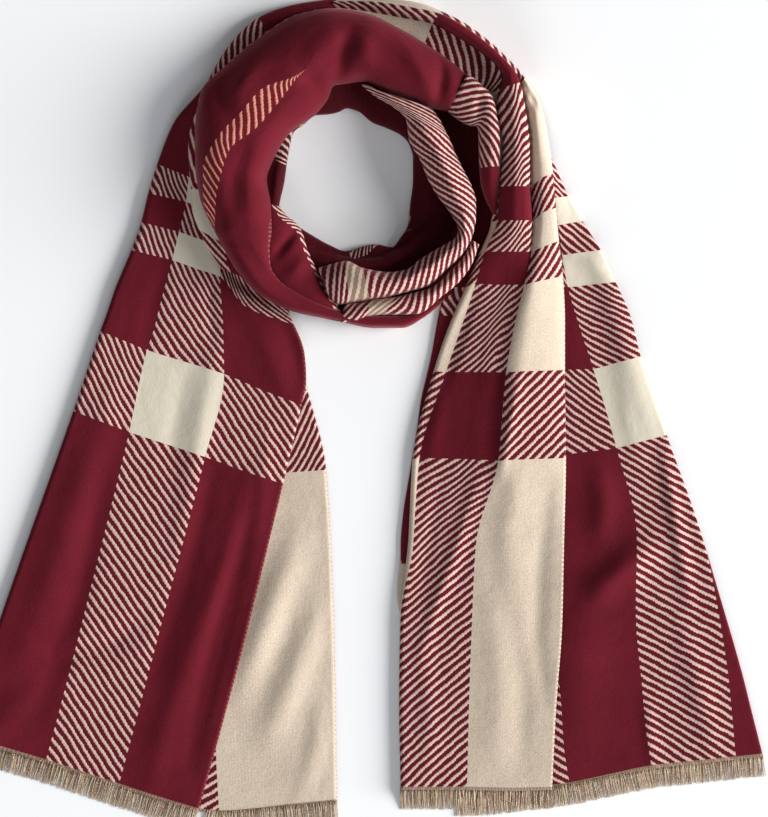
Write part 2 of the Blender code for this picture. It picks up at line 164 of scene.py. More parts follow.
class Wire:
    """A socket of a material's nodes, with the signs of arithmetic for its Math nodes."""

    def __init__(self, tree, socket=None):
        self.tree, self.socket = tree, socket

    def node(self, kind, settings=None, inputs=None, output=0):
        """Adds a node, sets it up, feeds its sockets and gives one of its outputs."""
        made = self.tree.nodes.new("ShaderNode" + kind)
        for name, value in (settings or {}).items():
            if name == "stops":
                ramp = made.color_ramp
                while len(ramp.elements) < len(value):
                    ramp.elements.new(0.5)
                for element, (position, colour) in zip(ramp.elements, value):
                    element.position = position
                    element.color = (*colour, 1)
            else:
                setattr(made, name, value)
        for name, value in (inputs or {}).items():
            if isinstance(value, Wire):
                self.tree.links.new(value.socket, made.inputs[name])
            else:
                made.inputs[name].default_value = value
        return Wire(self.tree, made.outputs[output])

    def math(self, operation, *others):
        """A Math node on this value and then the others."""
        values = dict(enumerate((self, *others)))
        return self.node("Math", {"operation": operation}, values)

    def __add__(self, other):
        return self.math("ADD", other)

    def __sub__(self, other):
        return self.math("SUBTRACT", other)

    def __rsub__(self, other):
        return self.node("Math", {"operation": "SUBTRACT"}, {0: other, 1: self})

    def __mul__(self, other):
        return self.math("MULTIPLY", other)

    def __truediv__(self, other):
        return self.math("DIVIDE", other)

    __radd__, __rmul__ = __add__, __mul__

    def between(self, low, high):
        """1 where the value lies between two limits, and 0 elsewhere."""
        return self.math("GREATER_THAN", low) * self.math("LESS_THAN", high)

    def blend(self, a, b):
        """Colour a where the value is 0 and colour b where it is 1."""
        a, b = (colour if isinstance(colour, Wire) else (*colour, 1) for colour in (a, b))
        return self.node("Mix", {"data_type": "RGBA"}, {0: self, 6: a, 7: b}, output=2)


def new_material(name, sheen, tint):
    """A Principled material with its plain values set."""
    made = bpy.data.materials.new(name)
    made.use_nodes = True
    shader = made.node_tree.nodes["Principled BSDF"]
    for socket, value in (
        ("Roughness", 0.9), ("Specular IOR Level", 0.12), ("Sheen Weight", sheen),
        ("Sheen Roughness", 0.4), ("Sheen Tint", (*tint, 1)),
    ):
        shader.inputs[socket].default_value = value
    return made, shader, Wire(made.node_tree)


def noise(at, scale, detail=2.0):
    """A soft random value about 0, on the plane of the threads."""
    values = {"Vector": at, "Scale": scale, "Detail": detail}
    return at.node("TexNoise", {"noise_dimensions": "2D"}, values) - 0.5


def woven(
    name, front, hatch=SHADED_HATCH_RED, creams=(DULL_CREAM, TWILL_CREAM), half_line=0.21,
    reds=(DEEP_BURGUNDY, BURGUNDY),
):
    """One face of the double weave: the burgundy front or the tan back.

    hatch is the red between the twill lines, on the burgundy face partly the yarn's deeper red and
    partly painted shade between the raised lines; creams are the lines' dull and bright yarns, and
    half_line is half of what a line takes of the step from one to the next.
    """
    made, shader, maker = new_material(name, *FRONT_SHEEN if front else BACK_SHEEN)
    thread = maker.node("UVMap", {"uv_map": "cloth"})
    u = thread.node("SeparateXYZ", inputs={0: thread})
    v = Wire(u.tree, u.socket.node.outputs[1])
    from_hem = v.math("MINIMUM", CLOTH_LENGTH - v)
    grain, cloud, billow = noise(thread, 0.55), noise(thread, 0.02, 3.0), noise(thread, 0.06)
    wander = noise(thread, 0.3, 1.0)

    in_stripe = sum((u.between(*stripe) for stripe in STRIPES[1:]), u.between(*STRIPES[0]))
    in_bar = sum((from_hem.between(*bar) for bar in BARS), v.between(*MIDDLE_BAR))
    both = in_stripe * in_bar
    one = in_stripe + in_bar - 2 * both
    none = 1 - both - one

    # The twill lines: a row of short floats, so each line is beaded and its edge is stepped
    float_wave = (u * FLOATS).math("SINE")
    phase = u / TWILL_ACROSS - v / TWILL_ALONG + float_wave * 0.035 + billow * 0.35 + wander * 0.12
    crown = 1 - (phase.math("FRACT") - half_line).math("ABSOLUTE") * (1 / half_line)
    line = ((crown + 0.3) * 1.8).math("MINIMUM", 1.0).math("MAXIMUM", 0.0)
    crown = crown.math("MAXIMUM", 0.0)

    # The plain ground: a small birdseye of crossing diagonals
    across, length = u + wander * STRAY, v + noise(thread, 0.37, 1.0) * STRAY
    rising = ((across + length) * BIRDSEYE).math("SINE")
    birdseye = rising * ((across - length) * BIRDSEYE).math("SINE")

    red = (0.5 + cloud * 0.9 + grain * 1.3 + birdseye * 0.08).blend(*reds)
    pale_line = (0.5 + crown * 0.55 + grain * 0.7 + float_wave * 0.12).blend(*creams)
    if front:
        # The middle bar's crossing: tan with brown twill lines, and browner all over as painted
        # shade
        warm = 0.3 + grain * 0.9 + birdseye * 0.15 + v.between(*MIDDLE_BAR) * 0.6
        wefts_and_shade = v.between(*MIDDLE_BAR) * (0.25 + (1 - line) * 0.65)
        plain, crossed = red, wefts_and_shade.blend(warm.blend(CREAM, TAN), MIDDLE_BROWN_AND_SHADE)
        pale = both.blend(pale_line, crossed)
        light = both + one * line
    else:
        plain = (0.3 + birdseye * 0.24 + grain * 1.1 + cloud * 0.5).blend(TAN, SPECK)
        pale = none.blend(pale_line, plain)
        light = none + one * line
    # Between the lines the red deepens: partly the yarn, partly painted shade between raised lines
    dark = (one * 0.45).blend(red, hatch)
    colour = light.blend(dark, pale)

    # Selvages: the outermost threads show the other face in short dashes
    selvage = 1 - u.between(RIM, CLOTH_WIDTH - RIM)
    dash = (v / DASH).math("FRACT").between(0.0, 0.5)
    colour = (selvage * dash * 0.5).blend(colour, SELVAGE_PALE if front else SELVAGE_BROWN)

    # Header: the firmer, darker strip that the fringe hangs from
    header = from_hem.math("LESS_THAN", HEADER)
    yarns = 0.45 + (u * HEADER_YARNS).math("SINE") * 0.25 + grain * 0.9
    colour = (header * 0.85).blend(colour, yarns.blend(*HEADER_TONES))

    relief = one * crown * 0.55 + birdseye * 0.12 + grain * 0.5 + billow * 2.6
    feed = {"Strength": 0.6, "Distance": 0.35 * MM, "Height": relief}
    bump = maker.node("Bump", inputs=feed)
    maker.tree.links.new(colour.socket, shader.inputs["Base Color"])
    maker.tree.links.new(bump.socket, shader.inputs["Normal"])
    return made


front_face = woven("burgundy_face", True)
back_face = woven("tan_face", False)
# The back strand's face: its twill colours are a painted reflection of the red cloth
ember_reflection_face = woven("ember_reflection_face", True, EMBER_REFLECTION_RED, (DULL_EMBER_REFLECTION, EMBER_REFLECTION), 0.18)
# The collar's face is painted shade: the same cloth in darker colours
painted_shade_face = woven("painted_shade_face", True, PAINTED_SHADE_HATCH, PAINTED_SHADE_CREAMS, reds=PAINTED_SHADE_REDS)


# Left tail: the scarf's left end, folded once along its length. The upper layer shows the front
# face and the under layer the back. It runs on up over the collar's outer rim.

WALL = 1.8  # mm, thickness of the cloth
GRID = 3.0  # threads, the step of the fine meshes

LEFT_TAIL_PLAN = (  # v, and the plan points fold, stripe_left, stripe_right, middle and edge
    (0, (-42, 737), (45, 763), (118, 787), (158, 800), (198, 812)),
    (60, (-21, 678), (61, 704), (134, 728), (174, 742), (214, 755)),
    (170, (16, 572), (88, 598), (162, 621), (202, 636), (242, 650)),
    (340, (73, 411), (129, 432), (205, 457), (244, 471), (283, 484)),
    (425, (100, 331), (147, 350), (224, 374), (262, 390), (301.5, 405)),
    (447, (107, 312), (154, 329), (223.5, 350), (263, 367), (306, 382)),
    (470, (114, 291), (160, 305), (223, 326), (262, 342), (304.5, 357)),
    (515, (131, 250), (172, 260), (220, 277), (245, 306), (294, 325)),
    (545, (141, 222), (179, 232), (222, 247), (242, 279), (284, 306)),
    (575, (148, 193), (186, 202), (225, 217), (243, 240), (262, 262)),
    (605, (157, 164), (189, 177), (226, 193), (240, 215), (252, 232)),
    (650, (174, 122), (201, 142), (230, 157), (240, 174), (248, 192)),
    (695, (203, 87), (234, 122), (244, 134), (252, 146), (258, 156)),
    (740, (229, 45), (262, 88), (272, 102), (278, 110), (284, 120)),
    (780, (259, 17), (282, 66), (290, 82), (294, 88), (300, 98)),
    (820, (296, 4), (306, 52), (311, 66), (314, 72), (318, 82)),
    (862, (336, -2), (340, 44), (341, 56), (342, 62), (343, 70)),
)
LEFT_TAIL_LAY = (  # the points under_stripe and under_edge, then flat and height
    ((219, 814), (337, 803), 5.6, 7.5), ((216, 757), (336, 745), 5.6, 7.5),
    ((214, 640), (334, 635), 5.6, 7.5), ((212, 478), (326, 470), 5.6, 7.5),
    ((200, 395), (307, 389), 5.8, 7.8), ((198, 368), (303, 374), 6, 8.1),
    ((196, 345), (300, 350), 6.2, 8.4), ((192, 300), (290, 314), 7, 9),
    ((192, 262), (280, 290), 7.4, 9.4), ((192, 232), (258, 256), 7.6, 9.6),
    ((196, 200), (248, 228), 7.6, 9.6), ((200, 160), (245, 186), 8.2, 10.2),
    ((224, 128), (254, 150), 10.2, 11.4), ((250, 92), (280, 112), 11.8, 12.4),
    ((276, 70), (296, 90), 11.8, 12.4), ((302, 50), (316, 74), 11.8, 12.4),
    ((338, 40), (342, 62), 11.8, 12.4),
)
FOLD_U = 224.5  # the thread that the left tail is folded along
TURN_DEGREES = range(-90, 91, 30)


def level(a, b, t):
    """The value at a share of the way from one value to another."""
    return a + (b - a) * t


def mix(a, b, t):
    """The point at a share of the way from one point to another."""
    return tuple(level(p, q, t) for p, q in zip(a, b))


def turn(fold, inside, high, u):
    """A rounded fold standing on the floor, from under it round to its top: x, y, height and u."""
    away = np.subtract(fold, inside)
    away = away / np.hypot(*away)
    radius = high / 2
    reach = radius * MM / THREAD
    made = []
    for degrees in TURN_DEGREES:
        angle = math.radians(degrees)
        point = np.add(fold, away * reach * (math.cos(angle) - 1))
        made.append((*point, radius * (1 + math.sin(angle)), u - reach * angle))
    return made


def smooth_through(knots, values, at):
    """Values at some places of a smooth curve that never swings past its knots."""
    knots = np.asarray(knots, float)
    spans = np.diff(knots).reshape((-1,) + (1,) * (values.ndim - 1))
    slopes = np.diff(values, axis=0) / spans
    before, after = slopes[:-1], slopes[1:]
    wide = spans[:-1] + spans[1:]
    with np.errstate(divide="ignore", invalid="ignore"):
        inner = 3 * wide / ((wide + spans[1:]) / before + (wide + spans[:-1]) / after)
    inner = np.where(before * after > 0, inner, 0.0)
    slopes = np.concatenate([slopes[:1], inner, slopes[-1:]])
    i = np.clip(np.searchsorted(knots, at, side="right") - 1, 0, len(knots) - 2)
    step = spans[i]
    t = ((at - knots[i]) / np.diff(knots)[i]).reshape(step.shape)
    return (
        values[i] * (1 + 2 * t) * (1 - t) ** 2
        + slopes[i] * step * t * (1 - t) ** 2
        + values[i + 1] * t * t * (3 - 2 * t)
        + slopes[i + 1] * step * t * t * (t - 1)
    )


def fine_grid(rows, creases=(), closed=False):
    """A fine grid from a few rows of x, y, height, u and v. The last value is the station."""
    grid = np.asarray(rows, float)
    stations = np.broadcast_to(np.arange(grid.shape[1])[None, :, None], (*grid.shape[:2], 1))
    grid = np.concatenate([grid, stations], axis=2)
    if closed:
        grid = np.concatenate([grid[-2:], grid, grid[:3]])
    for axis in (0, 1):
        grid = np.swapaxes(grid, 0, axis)
        span = np.diff(grid, axis=0)[..., :3]
        span[..., 2] *= MM / THREAD
        lengths = np.maximum(np.sqrt((span**2).sum(axis=-1)).mean(axis=1), 0.05)
        knots = np.concatenate([[0], np.cumsum(lengths)])
        first, last = (knots[2], knots[-3]) if closed and axis == 0 else (0, knots[-1])
        count = max(int((last - first) / GRID), 3)
        at = np.linspace(first, last, count + 1)
        if axis == 1:
            at = np.unique(np.concatenate([at, knots]).round(4))
            at = at[np.concatenate([[True], np.diff(at) > 0.2])]
        grid = np.swapaxes(smooth_through(knots, grid, at), 0, axis)
    return press(grid[:-1] if closed else grid, creases)


def press(grid, creases):
    """Raises soft ridges and sinks soft troughs along paths on the plan.

    A crease is the points of its path, its width in threads and its depth in millimetres.
    """
    lowest = np.minimum(grid[..., 2], 2 * WALL + 0.1)
    for *path, width, depth in creases:
        nearest = np.full(grid.shape[:2], 1e9)
        fade = np.zeros(grid.shape[:2])
        count = len(path) - 1
        for k, (a, b) in enumerate(zip(path, path[1:])):
            along = np.subtract(b, a)
            offset = grid[..., :2] - a
            t = np.clip((offset @ along) / (along @ along), 0, 1)
            distance = np.hypot(*(np.moveaxis(offset, -1, 0) - np.multiply.outer(along, t)))
            closer = distance < nearest
            nearest = np.where(closer, distance, nearest)
            swell = np.sin(math.pi * (0.06 + 0.88 * (k + t) / count)) ** 0.7
            fade = np.where(closer, swell, fade)
        grid[..., 2] += depth * fade * np.exp(-((nearest / width) ** 2))
    grid[..., 2] = np.maximum(grid[..., 2], lowest)
    return grid


def station_column(grid, station):
    """The fine grid's column on one of the stations across its rows."""
    return int(np.abs(grid[0, :, -1] - station).argmin())


def cloth(
    name, grid, replaces=(), faces=(front_face, back_face),
    closed=False, jumps=(),
):
    """A sheet of cloth over a fine grid, cut to flat in metres.

    faces are its upper and lower material. jumps are the columns where a pleat hides threads.
    """
    bm = bmesh.new()
    threads = bm.loops.layers.uv.new("cloth")
    rows, columns = grid.shape[:2]
    verts = [[bm.verts.new(place(*grid[r, c, :3])) for c in range(columns)] for r in range(rows)]
    hidden = np.zeros((rows, columns - 1))
    for column, skipped in jumps:
        hidden[:, column:] += np.reshape(skipped, (-1, 1))
    for r in range(rows if closed else rows - 1):
        for c in range(columns - 1):
            corners = [(r, c), (r, c + 1), ((r + 1) % rows, c + 1), ((r + 1) % rows, c)]
            face = bm.faces.new([verts[i][j] for i, j in corners])
            for loop, (i, j) in zip(face.loops, corners):
                loop[threads].uv = (grid[i, j, 3] + hidden[i, c], grid[i, j, 4])
    bmesh.ops.remove_doubles(bm, verts=bm.verts, dist=0.001 * MM)
    bm.normal_update()
    middle = grid[..., 2].mean() * MM
    if sum(face.normal.z * (face.calc_center_median().z - middle) for face in bm.faces) < 0:
        bmesh.ops.reverse_faces(bm, faces=bm.faces)
    mesh = bpy.data.meshes.new(name)
    bm.to_mesh(mesh)
    bm.free()
    mesh.shade_smooth()
    for face in faces:
        mesh.materials.append(face)
    made = add(name, mesh)
    wall = made.modifiers.new("wall", "SOLIDIFY")
    wall.thickness = WALL * MM
    wall.offset = -1
    wall.material_offset = 1
    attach(made, "root")
    if replaces:
        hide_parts(*replaces)
    return made


def left_section(
    v, fold, stripe_left, stripe_right, middle, edge, under_stripe, under_edge, flat, height
):
    """The left tail across, from the under layer's selvage round the fold to the upper one's."""
    under = [
        (*under_edge, 0.0, CLOTH_WIDTH),
        (*mix(under_stripe, under_edge, 0.65), 0.0, 531),
        (*under_stripe, 0.0, STRIPES[2][1]),
        (*mix(under_stripe, fold, 0.5), 0.0, 350),
    ]
    bend = turn(fold, stripe_left, height, FOLD_U)
    upper = [
        (*mix(bend[-1][:2], stripe_left, 0.4), level(flat, height, 0.7), 193),
        (*stripe_left, level(flat, height, 0.15), STRIPES[0][1]),
        (*mix(stripe_left, stripe_right, 0.5), flat, sum(STRIPES[0]) / 2),
        (*stripe_right, flat, STRIPES[0][0]),
        (*middle, flat, 40),
        (*edge, flat - 0.4, 0),
    ]
    return [(*point, v) for point in under + bend + upper]


LEFT_CREASES = (
    ((168, 250), (158, 290), (146, 335), 9, -1.6), ((214, 268), (209, 300), (214, 345), 7, -2),
    ((219, 335), (206, 400), (193, 470), (178, 560), 11, 2.6),
    ((186, 375), (176, 420), (168, 470), 9, -1.4), ((255, 322), (272, 360), (290, 408), 11, 2.4),
    ((282, 318), (294, 350), (301, 385), 8, -2.2),
    ((112, 395), (84, 470), (52, 575), (18, 668), 16, 3.2),
    ((104, 470), (80, 590), (40, 710), 11, -2.2), ((30, 690), (0, 725), (-30, 745), 14, 2.4),
    ((20, 618), (62, 655), (108, 646), (152, 612), 12, -2),
    ((214, 470), (186, 575), (153, 680), 9, -2.4),
    ((252, 470), (226, 560), (194, 645), (163, 735), (150, 790), 13, 3.4),
    ((248, 520), (233, 580), (207, 680), (190, 765), 9, -3.4),
    ((268, 430), (262, 500), (252, 560), 8, 1.8), ((297, 540), (266, 625), (242, 690), 15, 5.6),
    ((318, 610), (296, 670), (268, 740), 15, 4.6), ((322, 700), (318, 745), (300, 795), 10, 1.8),
    ((216, 252), (234, 277), (262, 299), (296, 319), 5, -4),
)
left_rows = [left_section(*plan, *lay) for plan, lay in zip(LEFT_TAIL_PLAN, LEFT_TAIL_LAY)]
left_grid = fine_grid(left_rows, LEFT_CREASES)
left_tail = cloth("left_tail_cloth", left_grid, ["left_tail"])


# Left pleat: a narrow pleat of the left tail that rolls out from under the second turn and
# carries the end of its checked stripe.

LEFT_PLEAT = (  # v, u, the plan points left and right, and height
    (690, 160, (199, 104), (212, 104), 12), (672, 150, (190, 124), (208, 124), 12),
    (650, 135, (187.5, 143), (207, 146), 12.5), (628, 116, (188.3, 166), (208, 168), 12.5),
    (605, 100, (190.5, 189), (210, 190), 12.5), (592, 100, (191, 206), (216, 212), 12.5),
    (575, 104, (198, 229), (228, 246), 12), (562, 98, (205, 244), (238, 262), 11),
    (552, 92, (213, 257), (246, 272), 10), (546, 88, (222, 269), (254, 282), 8.6),
)
# Share of the way across, fullness, and threads from the shown edge
PLEAT_SHAPE = ((0, 0.45, 0), (0.04, 0.72, 1.5), (0.14, 0.92, 5), (0.35, 1, 11), (1, 1, 28))
pleat_rows = [
    [
        (*mix(left, right, t), height * fullness, u - threads, v)
        for t, fullness, threads in PLEAT_SHAPE
    ]
    for v, u, left, right, height in LEFT_PLEAT
]
cloth("left_pleat", fine_grid(pleat_rows))


# Neck collar: the cloth's first turn behind the neck, pressed low by the second one. It lies all
# round the neck opening and shows inside it as a dark rounded edge, its upper face painted darker
# as shade.

COLLAR_HEIGHT = 11.5  # mm
COLLAR = (  # the plan points opening and outer, v, rim_u, and outer_height where it is lower
    ((279, 208), (246, 222), 1003, 60), ((284, 183), (240, 190), 983, 42),
    ((288, 156), (237, 156), 961, 92), ((293, 133), (232, 126), 942, 104),
    ((304, 124), (216, 98), 930, 84), ((316, 115), (240, 62), 1005, 60),
    ((328, 114), (268, 34), 1018, 60), ((338, 112), (298, 20), 1029, 60),
    ((347, 108), (330, 18), 1039, 60), ((358, 111), (366, 25), 1050, 60),
    ((372, 122), (402, 42), 1066, 60), ((387, 128), (442, 62), 1078, 60),
    ((401, 135), (472, 92), 1090, 60, 4), ((409, 144), (492, 126), 930, 60, 1.9),
    ((413, 158), (498, 158), 944, 60, 1.9), ((413, 180), (498, 190), 966, 60, 1.9),
    ((410, 205), (497, 222), 991, 66, 1.9), ((408, 224), (488, 252), 1010, 79, 1.9),
    ((400, 238), (470, 282), 1012, 66, 2.5), ((392, 247), (442, 301), 1020, 60, 6),
    ((375, 244), (394, 318), 1098, 76), ((363, 246), (371, 319), 1070, 82),
    ((352, 250), (352, 318), 1044, 82), ((346, 251), (343, 316), 1030, 66),
    ((330, 245), (320, 305), 930, 60), ((312, 235), (290, 276), 910, 60),
    ((298, 226), (268, 252), 905, 60), ((287, 217), (254, 237), 902, 60),
)
COLLAR_SHAPE = (  # share of the way out, fullness, threads from the rim, share of the outer height
    (0, 0, 12, 0), (0, 0.3, 8, 0), (0.02, 0.62, 4, 0), (0.08, 0.86, 0, 0), (0.2, 0.97, -6, 0),
    (0.45, 1, -16, 0.4), (0.7, 1, -26, 1), (0.94, 0.9, -38, 1), (0.99, 0.6, -42, 1), (1, 0, -48, 1),
)


def collar_section(opening, outer, v, rim_u, outer_height=COLLAR_HEIGHT):
    """The collar across, from under its rim at the opening out to its edge on the floor."""
    section = []
    for t, fullness, threads, part in COLLAR_SHAPE:
        height = level(COLLAR_HEIGHT, outer_height, part) * fullness
        section.append((*mix(opening, outer, t), height, rim_u + threads, v))
    return section


COLLAR_CREASES = (
    ((404, 130), (425, 165), (430, 205), 6, 3),
    ((314, 248), (345, 255), (375, 256), (400, 247), (425, 227), (440, 213), 2.4, -5),
    ((320, 262), (350, 266), (385, 263), (412, 251), (436, 231), 6, 6),
    ((284, 150), (278, 175), (275, 205), 5, 3),
)
collar_rows = [collar_section(*row) for row in COLLAR]
# Its upper face is painted shade, darker than the rest of the cloth
neck_collar = cloth(
    "neck_collar_cloth", fine_grid(collar_rows, COLLAR_CREASES, closed=True),
    ["neck_collar"], (painted_shade_face, back_face), closed=True,
)


# The second turn's strands. The gathered cloth lies round the opening in four rounded pleats:
# the thick back strand with its bottom roll, and three narrower ones in front of it.

REST = 12.3  # mm, the height at which a strand's edges rest on the collar
# Each row: v, the points inner, low_stripe, high_stripe and outer, with one point for both where
# the stripe is shut, crown, then rest and lip
BACK_STRAND = (
    (1152, ((436, 300), (439, 303), (441, 304)), 17),
    (1156, ((416, 312), (420, 316), (423, 318)), 20, 10),
    (1161, ((396, 316), (399, 323), (402, 328)), 22, 4),
    (1167, ((372, 316), (373, 322), (374, 328)), 23, 3, 14),
    (1174, ((344, 312), (343, 317), (342, 322)), 25, 3, 17),
    (1181, ((320, 304), (318, 311), (317, 317)), 28, 5, 20),
    (1189, ((298, 293), (296, 303), (294, 312)), 31, 9.5, 22.5),
    (1202, ((279, 280), (271, 286), (257, 293)), 35, 9.5, 24.5),
    (1213, ((271, 266), (257, 269), (240, 275)), 38, 9.5, 25.5),
    (1226, ((270, 250), (240, 251), (225.5, 252.5)), 40, 9.5, 26),
    (1246, ((272, 230), (215.5, 229), (213, 228)), 42, 9.5, 25),
    (1277, ((271, 205), (217, 200), (203.8, 199), (200, 198)), 44, 9.5, 20),
    (1307, ((267, 180), (222.5, 175), (204, 169), (195.5, 166)), 45, 9.5),
    (1337, ((275, 157), (231, 151), (217, 141), (195, 131)), 45, 9.5),
    (1373, ((289, 134.5), (257, 130), (241, 115), (201, 93)), 45),
    (1407, ((314, 116), (282, 101), (266, 89), (228, 64)), 45),
    (1443, ((327, 101), (297, 81), (291, 80.5), (262, 36)), 45),
    (1479, ((334, 86), (307, 71), (297, 15)), 45), (1511, ((347, 84), (334, 38), (333, 8.7)), 45),
    (1541, ((364, 82), (366, 38), (366, 13.5)), 44), (1571, ((386, 92), (393, 54), (396, 27)), 43),
    (1601, ((411, 101), (418, 68), (424, 43)), 41), (1629, ((431, 109), (440, 82), (448, 59)), 38),
    (1653, ((448, 112), (458, 93), (467, 75)), 34),
)
SIDES = 7  # stations across each part of a strand
EDGE = 2.5  # mm, what a strand's edge stands up


def strand_section(v, points, crown, rest=REST, lip=REST, *, threads, rounded=0.0):
    """A strand across: up from its inner edge, over the crown and down to its outer edge.

    rounded packs the threads closer towards both edges, as on a roll that is seen from above.
    """
    inner, *stripe, outer = points
    width = math.dist(inner, outer)
    marks = [inner, stripe[0], stripe[-1], outer]
    shares = [min(math.dist(inner, mark) / width, 1) for mark in marks]
    stations = [
        (k, n / SIDES, shares[k] + (shares[k + 1] - shares[k]) * n / SIDES)
        for k in range(3)
        for n in range(SIDES)
    ]
    section = [(*inner, lip, threads[0], v)]
    for k, part, t in (*stations, (2, 1.0, 1.0)):
        fullness = min(max((t - 0.55) / 0.45, 0), 1)
        under = lip + (rest - lip) * fullness * fullness * (3 - 2 * fullness)
        bulge = math.sqrt(max(1 - abs(2 * t - 1) ** 2.3, 0.0))
        height = under + EDGE + max(crown - under - EDGE, 0.0) * bulge
        packed = math.asin(max(min(2 * t - 1, 1), -1)) / math.pi + 0.5 - t
        u = level(threads[k], threads[k + 1], part) + (threads[3] - threads[0]) * rounded * packed
        section.append((*mix(marks[k], marks[k + 1], part), height, u, v))
    section.append((*outer, rest, threads[3], v))
    return section


def close_stripe(grid, first_v, last_v):
    """Shuts the checked stripe before one place and beyond another, where a fold hides it."""
    low, high = station_column(grid, 1 + SIDES), station_column(grid, 1 + 2 * SIDES)
    shut = (grid[:, low, 4] <= first_v) | (grid[:, low, 4] >= last_v)
    grid[shut, low : high + 1, :3] = grid[shut, low : low + 1, :3]
    return grid


BACK_CREASES = (
    ((303, 77), (315, 84), (328, 96), 9, -6.5), ((350, 36), (344, 58), (338, 82), 8, -6.5),
    ((330, 40), (318, 54), (308, 66), 9, 2.5), ((366, 36), (366, 58), (372, 82), 10, 3.5),
    ((405, 50), (420, 72), (430, 98), 9, 4), ((440, 60), (442, 80), (438, 104), 6, -5),
    ((232, 120), (222, 100), (226, 78), 12, -5), ((262, 60), (244, 84), (226, 110), 9, 3.5),
    ((286, 112), (262, 146), (252, 190), (258, 230), 12, 3.5),
    ((246, 148), (236, 180), (236, 215), 9, -2.5), ((236, 240), (262, 272), (300, 300), 8, -2.5),
)
STRIPE_SHOWS = (1246, 1479)  # threads
PLEATED = 54  # threads, hidden in the pleat at the low edge of the strand's checked stripe
SELVAGE_V = 1250  # up to which the strand's inner edge is the selvage
BACK_THREADS = (78, 156 - PLEATED, 236 - PLEATED)
back_rows = [
    strand_section(v, *row, threads=(-3 if v < SELVAGE_V else 6, *BACK_THREADS))
    for v, *row in BACK_STRAND
]
back_grid = close_stripe(fine_grid(back_rows, BACK_CREASES), *STRIPE_SHOWS)
# Its upper face carries the painted reflection: twill lines warmed orange-pink
cloth(
    "back_turn", back_grid, ["back_strand"],
    (ember_reflection_face, back_face), jumps=[(station_column(back_grid, 1 + SIDES), PLEATED)],
)

# Each row: v, the plan points inner and outer, crown, u_inner and u_outer
FRONT_STRAND = (
    (812, (362, 86), (432, 109), 28, 262, 282), (828, (377, 98), (440, 120), 33, 252, 286),
    (840, (391, 106), (444, 128), 35, 245, 290), (855, (406, 120), (448.6, 137), 37, 240, 284),
    (875, (409, 140), (457, 157), 39, 240, 284), (895, (420, 160), (465, 173), 42, 240, 284),
    (913, (428, 180), (472, 187), 42, 240, 282), (930, (438, 197), (476, 202), 42, 240, 280),
    (947, (451, 215), (476, 217), 41, 240, 276), (963, (458, 230), (472, 238), 41, 240, 272),
    (978, (455, 238), (464, 253), 40, 240, 270), (1000, (442, 246), (448, 269), 36, 240, 268),
    (1029, (422, 258), (427, 287), 36, 240, 266), (1052, (405, 270), (408, 292), 36, 240, 264),
    (1074, (388, 272), (388, 297), 36, 240, 263), (1100, (363, 268), (370, 300), 36, 240, 262),
    (1124, (346, 261), (349, 303.5), 35, 240, 262), (1144, (332, 264), (338, 305), 32, 240, 262),
    (1160, (318, 268), (330, 300), 26, 240, 262),
)
LOWER_STRAND = (
    (968, (471, 240), (479, 245), 26, 240, 264), (990, (463, 256), (472, 264), 28, 240, 264),
    (1014, (450, 271), (460, 281), 29, 240, 264), (1044, (430, 288), (440, 298), 29, 240, 264),
    (1073, (411, 293), (416, 315), 29, 240, 264), (1100, (396, 297), (384, 315), 29, 240, 264),
    (1124, (372, 300), (366, 317), 29, 240, 266), (1136, (358, 303), (357, 323), 28, 240, 270),
    (1156, (345, 304), (341, 323), 25, 240, 274),
)
INNER_STRAND = (
    (1300, (280, 207), (262, 203), 22, 98, 56), (1315, (287, 216), (260, 226), 25, 98, 32),
    (1332, (295, 222), (257, 242), 26, 95, 21), (1350, (302, 232), (256, 259), 26, 90, 13),
    (1366, (307, 248), (260, 279), 26.5, 89, 8), (1386, (315, 266), (273, 293), 26.5, 89, 8),
    (1408, (326, 286), (291, 307), 26, 89, 23), (1432, (339, 307), (312, 314), 23, 90, 46),
    (1442, (345, 316), (334, 319), 20, 90, 64),
)
FRONT_CREASES = (
    ((410, 118), (436, 150), (452, 190), (460, 214), 6, 3),
    ((400, 122), (418, 150), (436, 186), 5, -2.5),
    ((466, 200), (462, 232), (436, 264), (400, 282), 5, 2.5),
)
INNER_CREASES = (
    ((297, 229), (287, 242), (276, 256), 5, -5), ((312, 254), (300, 266), (288, 280), 8, 3),
)
THIRDS = (0.33, 0.67)


def plain_strand(name, node, table, creases, rest=REST):
    """A strand with no marks on it, in three even parts."""
    rows = []
    for v, inner, outer, crown, u_inner, u_outer in table:
        points = [inner, *(mix(inner, outer, third) for third in THIRDS), outer]
        threads = [u_inner, *(level(u_inner, u_outer, third) for third in THIRDS), u_outer]
        rows.append(strand_section(v, points, crown, rest, threads=threads, rounded=0.6))
    cloth(name, fine_grid(rows, creases), [node])


plain_strand("front_pleat", "front_strand", FRONT_STRAND, FRONT_CREASES)
plain_strand("lower_pleat", "lower_strand", LOWER_STRAND, ())
plain_strand("inner_pleat", "inner_strand", INNER_STRAND, INNER_CREASES, rest=17)


# Right flap: the right end of the scarf with its back face up, from the hem over the shoulder to
# the top. A stripe of it stands up as a fold, and beyond that its selvage side lies in a roll.

